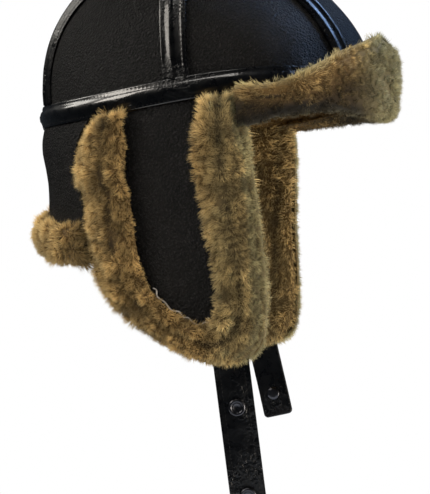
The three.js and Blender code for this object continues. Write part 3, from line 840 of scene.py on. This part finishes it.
def flapEdge(along, inwards):
    rows = earFlap["edge"]
    at = min(max(along, 0), 1) * (len(rows) - 1)
    i = min(int(at), len(rows) - 2)
    share = at - i
    near = [rows[min(max(i + k, 0), len(rows) - 1)] for k in (-1, 0, 1, 2)]
    def blend(column):
        a, b, c, d = (row[column] for row in near)
        return 0.5 * (2 * b + (c - a) * share + (2 * a - 5 * b + 4 * c - d) * share ** 2
                      + (3 * b - a - 3 * c + d) * share ** 3)
    outer, inner = (blend(0), blend(1)), (blend(2), blend(3))
    y = (outer[0] + (inner[0] - outer[0]) * inwards) * earFlap["reach"]
    z = -(outer[1] + (inner[1] - outer[1]) * inwards) * earFlap["length"]
    return y, z


def flapPoint(direction, y, z, offset):
    theta = math.acos(min(1, max(-1, -(y + crown["forward"]) / crown["halfLength"])))
    low = bandCentre(theta) - crown["bandWidth"] / 2
    wall = wallPoint(theta, low, offset)
    share = max(0, low - z) / earFlap["length"]
    return Vector((direction * (abs(wall.x) - earFlap["inward"] * share), y + crown["shift"][1],
                   z + crown["shift"][2]))


# Wool wraps the cut edge of the flap's leather, from the lining to the turned-out trim
flapRim = {"depth": 0.0068, "middle": -0.0014, "bulge": 0.0004, "fibres": 5500, "inset": 0.02,
           "thickness": 0.0006}


def rimPoint(direction, node, u, across):
    y, z = flapEdge(u, flapRim["inset"])
    innerY, innerZ = flapEdge(u, 0.5)
    way = Vector((0, y - innerY, z - innerZ)).normalized()
    place = flapPoint(direction, y, z, flapRim["middle"] + across * flapRim["depth"])
    place += way * flapRim["bulge"] * (1 - 4 * across * across)
    if node in shifts:
        place += Vector(shifts[node](np.array([place]))[0])
    return place, way


def rimStrip(direction, node):
    piece = layGrid("rim_strip", 150, 6, lambda u, across: rimPoint(direction, node, u, across)[0])
    applyModifier(piece, "SOLIDIFY", {"thickness": flapRim["thickness"], "offset": 0.0})
    return piece


def rimSamples(direction, node, dice):
    spots = [rimPoint(direction, node, dice.random(), dice.uniform(-0.5, 0.5))
             for _ in range(flapRim["fibres"])]
    return np.array([spot[0] for spot in spots]), np.array([spot[1] for spot in spots])


# The fields that shape and shade the wool, from places in metres. First the turned-out trim of the flaps:
# a patchy valley along its middle, fibres combed away from it, and a front rim that faces forwards
trimMiddle = np.array([flapEdge(i / 160, 0.5) for i in range(161)])


def fromMiddle(place):
    ways = []
    for part in np.array_split(place, 20):
        flat = part[:, 1:] - np.array(crown["shift"][1:])
        gaps = flat[:, None, :] - trimMiddle[None, :, :]
        nearest = np.linalg.norm(gaps, axis=2).argmin(axis=1)
        ways.append(gaps[np.arange(len(flat)), nearest])
    return np.concatenate(ways)


# The valley mask sinks and shortens the wool, and the wool's tones paint it dark as shade
def trimValley(place):
    patchy = np.clip(0.6 + 1.3 * lumpField(place, 0.009, 3), 0, 1)
    return patchy * bell(np.linalg.norm(fromMiddle(place), axis=1), 0.0022)


def trimTopAndFront(place, up):
    return fade(place[:, 2], -0.118, 0.012), fade(up[:, 1], -0.35, -0.45)


def trimComb(place, up):
    away = fromMiddle(place)
    top, front = trimTopAndFront(place, up)
    low = fade(place[:, 2], -0.19, -0.02)
    parting = bell(np.linalg.norm(away, axis=1), 0.005)
    away = unit(away) * ((0.4 - 0.35 * low + 0.6 * parting) * (1 - front))[:, None]
    return backAndUp(place, away[:, 0], away[:, 1] + (-0.3 + 1.2 * top))


def trimStretch(place, up):
    top, front = trimTopAndFront(place, up)
    return 1 + 0.1 * top - 0.45 * front - 0.3 * fade(place[:, 2], -0.232, -0.01)


def frontRim(place, up):
    return fade(place[:, 1], -0.022, -0.012), fade(up[:, 1], -0.2, -0.4)


# Painted light: a pale olive on the front rim, strongest where its fibres face forwards
def trimOliveRimLight(place, up):
    ahead, forwards = frontRim(place, up)
    return ahead * np.maximum(0.75 * forwards, 0.3)


# Painted shade: the front rim darker where its fibres face forwards
def trimShade(place, up):
    ahead, forwards = frontRim(place, up)
    return 1 - 0.4 * ahead * forwards


# The flaps' linings: a valley near the front edge, and long fibres at the front top corner
# The valley mask sinks and shortens the wool, and the wool's tones paint it dark as shade
def liningValley(place):
    return 0.8 * fade(place[:, 2], -0.235, 0.02) * bell(place[:, 1] + 0.041, 0.0022)


def liningCorner(place):
    return fade(place[:, 2], -0.165, 0.05) * fade(place[:, 1], -0.028, -0.012)


def liningComb(place, up):
    corner = liningCorner(place)
    return backAndUp(place, -1.8 * corner, -0.5 * (1 - corner))


def liningStretch(place, up):
    return 1 + 0.6 * liningCorner(place)


# The visor's wool folds along a crease: a curly roll above it, painted pale as light, and a hollow band
# below, painted dark as shade
visorFold = {
    "y": (-0.125, -0.1157, -0.1046, -0.0937, -0.083, -0.072, -0.0603, -0.0487),
    "crease": (-0.086, -0.0873, -0.0908, -0.0995, -0.1039, -0.1051, -0.1057, -0.1045),
    "height": (0.037, 0.0368, 0.034, 0.0317, 0.0264, 0.022, 0.02, 0.0167),
    "share": (-0.1, 0.0, 0.25, 0.5, 0.7, 0.85, 1.0), "shade": (0.36, 0.3, 0.78, 1.1, 1.6, 2.5, 2.9),
    "tipShade": 0.72,
}


def aboveCrease(place):
    return place[:, 2] - np.interp(place[:, 1], visorFold["y"], visorFold["crease"])


def upVisor(place):
    return aboveCrease(place) / np.interp(place[:, 1], visorFold["y"], visorFold["height"])


# Painted light and shade: bright on the roll above the crease, dark in the band below and where the wool
# faces down, an even tone at the tip
def visorShade(place, up):
    tip = fade(place[:, 1], -0.112, -0.012)
    under = 1 - 0.8 * fade(up[:, 2], -0.15, -0.4)
    shade = np.interp(upVisor(place), visorFold["share"], visorFold["shade"])
    return (1 - tip) * under * shade + visorFold["tipShade"] * tip


# Painted pale light: olive on the top of the roll and at the tip
def visorOliveLight(place, up):
    tipRim = fade(place[:, 1], -0.106, -0.016)
    return np.maximum(0.7 * fade(upVisor(place), 0.6, 0.25), 0.9 * tipRim)


def visorComb(place, up):
    ends = fade(place[:, 1], -0.066, 0.012)
    above = aboveCrease(place)
    return backAndUp(place, 1.6 * ends, -0.15 * ends + 0.5 * np.sign(above) * bell(above, 0.007))


def visorStretch(place, up):
    ends, under = fade(place[:, 1], -0.062, 0.01), fade(up[:, 2], -0.1, -0.5)
    return (1 + 0.2 * ends) * (1 - 0.3 * under)


# The crease and the band below it: sunk, with shorter wool, and painted dark as shade
def visorValley(place):
    patchy = np.clip(0.7 + 1.4 * lumpField(place, 0.008, 4), 0, 1)
    above = aboveCrease(place) + 0.005 * lumpField(place, 0.014, 8)
    dark = np.maximum(patchy * bell(above, 0.0032), 0.5 * fade(above, 0, -0.004))
    return dark * fade(place[:, 1], -0.114, 0.02)


# The neck flap's roll: its ends reach forwards under the ear flaps' trims
def neckEnds(place):
    return fade(place[:, 1], 0.071, -0.012)


def neckComb(place, up):
    return backAndUp(place, -1.5 * neckEnds(place), -0.15)


def neckStretch(place, up):
    return 1 + 0.7 * neckEnds(place)


# Where fewer fibres cover the same skin they are thicker. Sizes in metres
pile = {
    "levels": 2, "crevice": 0.001, "tangle": 0.35, "pull": 0.3, "lumps": 0.002, "toneAndShade": 1.1, "baseTip": 0.2,
    "stretch": evenly(1.0), "olive": evenly(0.0), "valley": evenly(0.0), "shade": evenly(1.0),
}
for side, sign, trimFibres, liningFibres in (("right", -1, 37000, 9000), ("left", 1, 21000, 17000)):
    growWool("ear_flap_trim_" + side, "ear_flap_trim_" + side + "_fur", {
        **pile, "seed": 11 + sign, "rim": sign, "fibres": trimFibres, "thick": math.sqrt(43000 / trimFibres),
        "lock": 0.004, "length": 0.0052, "sink": 0.0026, "pull": 0.35, "crevice": 0.0014, "tangle": 0.45,
        "lumps": 0.0028, "toneAndShade": 1.16, "weigh": facingOut(sign), "comb": trimComb, "stretch": trimStretch,
        "olive": trimOliveRimLight, "valley": trimValley, "shade": trimShade,
    })
    # The linings' higher tone is painted light on their shaded inner sides
    growWool("ear_flap_wool_" + side, "ear_flap_wool_" + side + "_fur", {
        **pile, "seed": 21 + sign, "fibres": liningFibres, "thick": math.sqrt(34000 / liningFibres),
        "lock": 0.0045, "length": 0.0056, "sink": 0.002, "pull": 0.35, "toneAndShade": 1.45, "baseTip": 0.25,
        "weigh": facingOut(-sign), "comb": liningComb, "stretch": liningStretch, "olive": evenly(0.2),
        "valley": liningValley,
    })
# The visor's low tone is painted shade, beside its field of painted light and shade
growWool("visor_wool", "visor_fur", {
    **pile, "seed": 31, "fibres": 36000, "thick": 1.08, "lock": 0.0033, "length": 0.0044, "sink": 0.0042,
    "pull": 0.45, "crevice": 0.0012, "tangle": 0.75, "lumps": 0.0036, "toneAndShade": 0.68,
    "weigh": facingAwayOrDown, "comb": visorComb, "stretch": visorStretch, "olive": visorOliveLight,
    "valley": visorValley, "shade": visorShade,
})
growWool("neck_flap_trim", "neck_flap_trim_fur", {
    **pile, "seed": 41, "fibres": 15000, "thick": 1.36, "lock": 0.0048, "length": 0.005, "sink": 0.0022,
    "crevice": 0.0012, "tangle": 0.4, "lumps": 0.0016, "weigh": facingAway, "comb": neckComb,
    "stretch": neckStretch,
})
growWool("neck_flap_wool", "neck_flap_wool_fur", {
    **pile, "seed": 51, "levels": 1, "fibres": 8000, "thick": 1.8, "lock": 0.006, "length": 0.006,
    "sink": 0.002, "baseTip": 0.45, "weigh": facingIn, "comb": droop(0.3),
})
growWool("crown_wool", "crown_wool_fur", {
    **pile, "seed": 61, "levels": 1, "fibres": 10000, "thick": 2.3, "lock": 0.0065, "length": 0.006,
    "sink": 0.002, "baseTip": 0.45, "weigh": facingIn, "comb": droop(0.2),
})
print("wool grown")


# The cut edge of the turned-out skin, a thin wavy line that shows where the fur ends at the low back
peltEdge = {"first": 0.425, "last": 0.65, "length": 0.055, "wave": 0.001, "pitch": 0.0105, "height": 0.0016,
            "thickness": 0.0006, "lift": 0.0004, "inwards": 1.02, "trimWidth": 0.028}


def makePeltEdge(side, direction):
    def place(u, across):
        along = peltEdge["first"] + (peltEdge["last"] - peltEdge["first"]) * u
        beat = 2 * math.pi * u * peltEdge["length"] / peltEdge["pitch"]
        swing = math.sin(beat + 0.9 * math.sin(0.37 * beat)) + 0.7 * math.sin(0.43 * beat + 1)
        y, z = flapEdge(along, peltEdge["inwards"] + peltEdge["wave"] * swing / peltEdge["trimWidth"])
        return flapPoint(direction, y, z, peltEdge["lift"] + (across + 0.5) * peltEdge["height"])
    piece = layGrid("pelt_edge_" + side, 150, 3, place)
    applyModifier(piece, "SOLIDIFY", {"thickness": peltEdge["thickness"], "offset": 0.0})
    editAll(piece, faceOutwards)
    return finishPiece(piece, rawEdge)


for side, sign in sides.items():
    makePeltEdge(side, sign)
print("cut edges made")


# Chin straps: two layers of binding leather with rounded corners, edge lips and soft creases
straps = {
    "right": {"top": (-0.07290, -0.03726, -0.24902), "across": (0.20271, -0.97102, 0.12659),
              "up": (-0.07796, 0.11286, 0.99055), "length": 0.101, "snaps": ("lower", "upper")},
    "left": {"top": (0.07424, -0.03005, -0.25039), "across": (0.14041, 0.95803, -0.24991),
             "up": (0.07614, 0.24122, 0.96748), "length": 0.058, "snaps": ("",)},
    "width": 0.0215, "thickness": 0.0024, "corner": 0.003, "edgeRound": 0.0006,
    "cutsAlong": 0.0015, "cutsAcross": 0.0018, "lip": 0.00015, "lipWidth": 0.0032, "groove": 0.0003,
    "grooveIn": 0.0034, "grooveWidth": 0.0006, "crease": 0.0007, "sway": 0.00036,
    "snapMargin": 0.0165, "snapPitch": 0.054, "stitchPitch": 0.0024, "endStitches": 6,
}


def strapFrame(strap):
    across, up = Vector(strap["across"]), Vector(strap["up"])
    turn = Matrix((across, up, across.cross(up))).transposed().to_4x4()
    return Matrix.Translation(Vector(strap["top"])) @ turn


def makeStrap(side):
    length, half = straps[side]["length"], straps["width"] / 2
    deselectAll()
    bpy.ops.mesh.primitive_cube_add(size=1, location=(0, -length / 2, 0),
                                    scale=(straps["width"], length, straps["thickness"]))
    piece = bpy.context.object
    bpy.ops.object.transform_apply(location=True, rotation=True, scale=True)
    piece.name = "strap_" + side + "_leather"
    bpy.ops.object.mode_set(mode="EDIT")
    bpy.ops.mesh.select_all(action="DESELECT")
    bpy.ops.object.mode_set(mode="OBJECT")
    for edge in piece.data.edges:  # the two upright edges at the free end
        a, b = (piece.data.vertices[v].co for v in edge.vertices)
        if max(a.y, b.y) < -length + 1e-5 and abs(a.x - b.x) < 1e-5:
            edge.select = True
    bpy.ops.object.mode_set(mode="EDIT")
    bpy.ops.mesh.select_mode(type="EDGE")
    bpy.ops.mesh.bevel(offset=straps["corner"], segments=5)
    along, across = straps["cutsAlong"], straps["cutsAcross"]
    cuts = [((0, -cut * along, 0), (0, 1, 0)) for cut in range(1, int(length / along))]
    cuts += [((cut * across, 0, 0), (1, 0, 0)) for cut in range(-5, 6)]
    editAll(piece, *[(bpy.ops.mesh.bisect, {"plane_co": spot, "plane_no": way}) for spot, way in cuts],
            faceOutwards)
    roundEdges(piece, straps["edgeRound"], 3)
    for vertex in piece.data.vertices:
        x, y, z = vertex.co
        lip = max(0.0, (abs(x) - half + straps["lipWidth"]) / straps["lipWidth"])
        groove = math.exp(-((abs(x) - half + straps["grooveIn"]) / straps["grooveWidth"]) ** 2)
        crease = noise.noise(Vector((x / 0.02, y / 0.0045, 1.7)))
        crease *= noise.noise(Vector((x / 0.03, y / 0.03, 4)))
        sway = math.sin(math.pi * min(1, -y / length)) * math.sin(-y / 0.03)
        lift = straps["lip"] * lip - straps["groove"] * groove + straps["crease"] * crease
        vertex.co.z += (lift if z > 0 else -lift) + straps["sway"] * sway
    piece.data.transform(strapFrame(straps[side]))
    return finishPiece(piece, binding, "strap_" + side)


# The thread goes down one edge, across the end and up the other
def makeStrapStitches(side):
    length, step, face = straps[side]["length"], straps["stitchPitch"], straps["thickness"] / 2
    half = straps["width"] / 2 - straps["grooveIn"]
    down = [-step * i for i in range(int((length - 0.004) / step))]
    path = [Vector((-half, y, face)) for y in down]
    path += [Vector((-half + step * i, -length + 0.0036, face)) for i in range(1, straps["endStitches"] + 1)]
    path += [Vector((half, y, face)) for y in reversed(down)]
    verts, faces = stitchRow(path, [Vector((0, 0, 1))] * len(path))
    return sewPiece("strap_" + side + "_stitches", verts, faces, strapFrame(straps[side]))


# Snaps: a turned cap with a rolled rim, a flat floor and a spring ring, and a plain cap behind
snap = {"radius": 0.0052, "cap": 0.002, "back": 0.0011, "gap": 0.0003, "steps": 40}


# The profile goes from the back's middle to the floor's: shares of the radius, and heights
def makeSnap(side, label, place):
    face = straps["thickness"] / 2 + snap["gap"]
    top, floor, back = face + snap["cap"], face + snap["cap"] / 2, snap["back"]
    profile = [
        (0, -face - back), (0.5, -face - back), (0.8, -face - back * 0.8), (0.9, -face), (0.4, -face),
        (0.4, face), (0.93, face), (1, face + 0.0005), (0.99, face + 0.0012), (0.9, top - 0.0001),
        (0.78, top), (0.66, top - 0.0002), (0.6, floor + 0.0004), (0.55, floor), (0.5, floor + 0.00035),
        (0.44, floor), (0, floor),
    ]
    name = "_".join(part for part in ("snap", label, side) if part)
    piece = meshPiece(name + "_cap", [(share * snap["radius"], 0, z) for share, z in profile],
                      [(i, i + 1) for i in range(len(profile) - 1)], [])
    editAll(piece, (bpy.ops.mesh.spin, {"steps": snap["steps"], "angle": 2 * math.pi, "center": (0, 0, 0),
                                        "axis": (0, 0, 1), "dupli": False}),
            (bpy.ops.mesh.remove_doubles, {"threshold": 0.00001}), faceOutwards)
    piece.data.transform(strapFrame(straps[side]) @ Matrix.Translation((0, place, 0)))
    return finishPiece(piece, gunmetal, name)


for side in sides:
    makeStrap(side)
    makeStrapStitches(side)
    for i, label in enumerate(straps[side]["snaps"]):
        makeSnap(side, label, straps["snapMargin"] + i * straps["snapPitch"] - straps[side]["length"])
print("straps and snaps made")


# Stage: a plain pale floor under the hanging helmet, soft lights and the camera
stage = {"floorDrop": 0.42, "floorRadius": 0.28, "floorColour": "DCDCDA"}
deselectAll()
bpy.ops.mesh.primitive_circle_add(vertices=96, radius=stage["floorRadius"], fill_type="NGON",
                                  location=(0, 0, -stage["floorDrop"]))
floor = bpy.context.object
floor.name = "floor"
floorPaint = newMaterial("paleFloor", {"Base Color": linear(stage["floorColour"]), "Roughness": 0.8})[0]
floor.data.materials.append(floorPaint)

# The world is white behind the object, nearly dark in its gloss and a pale fill for all else
world = bpy.context.scene.world or bpy.data.worlds.new("studio")
bpy.context.scene.world = world
world.use_nodes = True
worldTree = world.node_tree
fill = setNode(worldTree, worldTree.nodes["Background"], {"Color": linear("E9EDF2"), "Strength": 0.9})
flags = addNode(worldTree, "Background", {"Color": linear("C8D8E8"), "Strength": 0.04})
backdrop = addNode(worldTree, "Background", {"Color": linear("FFFFFF"), "Strength": 1.0})
seen = addNode(worldTree, "LightPath")
dim = addNode(worldTree, "MixShader", {}, {
    "Fac": seen.outputs["Is Glossy Ray"], 1: fill.outputs["Background"], 2: flags.outputs["Background"]})
choose = addNode(worldTree, "MixShader", {}, {
    "Fac": seen.outputs["Is Camera Ray"], 1: dim.outputs["Shader"], 2: backdrop.outputs["Background"]})
setNode(worldTree, worldTree.nodes["World Output"], {}, {"Surface": choose.outputs["Shader"]})


def addLight(name, place, aim, size, power, hexText):
    data = bpy.data.lights.new(name, "AREA")
    data.shape = "RECTANGLE"
    data.size, data.size_y = size
    data.energy = power
    data.color = linear(hexText)[:3]
    light = bpy.data.objects.new(name, data)
    bpy.context.scene.collection.objects.link(light)
    light.location = place
    light.rotation_euler = (Vector(aim) - Vector(place)).to_track_quat("-Z", "Y").to_euler()
    return light


helmetMiddle = (0, 0, -0.15)
addLight("keyLight", (-0.62, 0.93, 0.6), helmetMiddle, (0.45, 0.6), 9, "FFF7EC")
addLight("rimLight", (0.02, 0.95, 0.52), helmetMiddle, (0.35, 0.35), 2.2, "FFFAF0")
addLight("topLight", (-0.5, 0.2, 1.05), helmetMiddle, (0.8, 0.2), 3, "FFFAF2")
addLight("windowLight", (0.55, -0.75, 0.8), helmetMiddle, (0.4, 0.5), 8, "A4C8FF")
addLight("frontLight", (-0.45, -1.1, -0.05), helmetMiddle, (0.6, 0.8), 1.2, "FFF6E6")
addLight("lowLight", (-0.12, -0.6, -0.38), (0.07, -0.02, -0.17), (0.25, 0.25), 3.6, "FFF2E0")

# The photo's view: the focal length is in pixels of its longer side
view = {"place": (-0.680, -0.1625, -0.1838), "towards": (0.9763, 0.2164, 0), "focal": 1040, "longSide": 494,
        "sensor": 36}
cameraData = bpy.data.cameras.new("photoCamera")
cameraData.lens = view["focal"] / view["longSide"] * view["sensor"]
cameraData.sensor_width = view["sensor"]
cameraData.clip_start = 0.01
camera = bpy.data.objects.new("photoCamera", cameraData)
bpy.context.scene.collection.objects.link(camera)
camera.location = view["place"]
camera.rotation_euler = Vector(view["towards"]).to_track_quat("-Z", "Y").to_euler()
bpy.context.scene.camera = camera
bpy.context.scene.view_settings.view_transform = "Standard"
print("stage set")
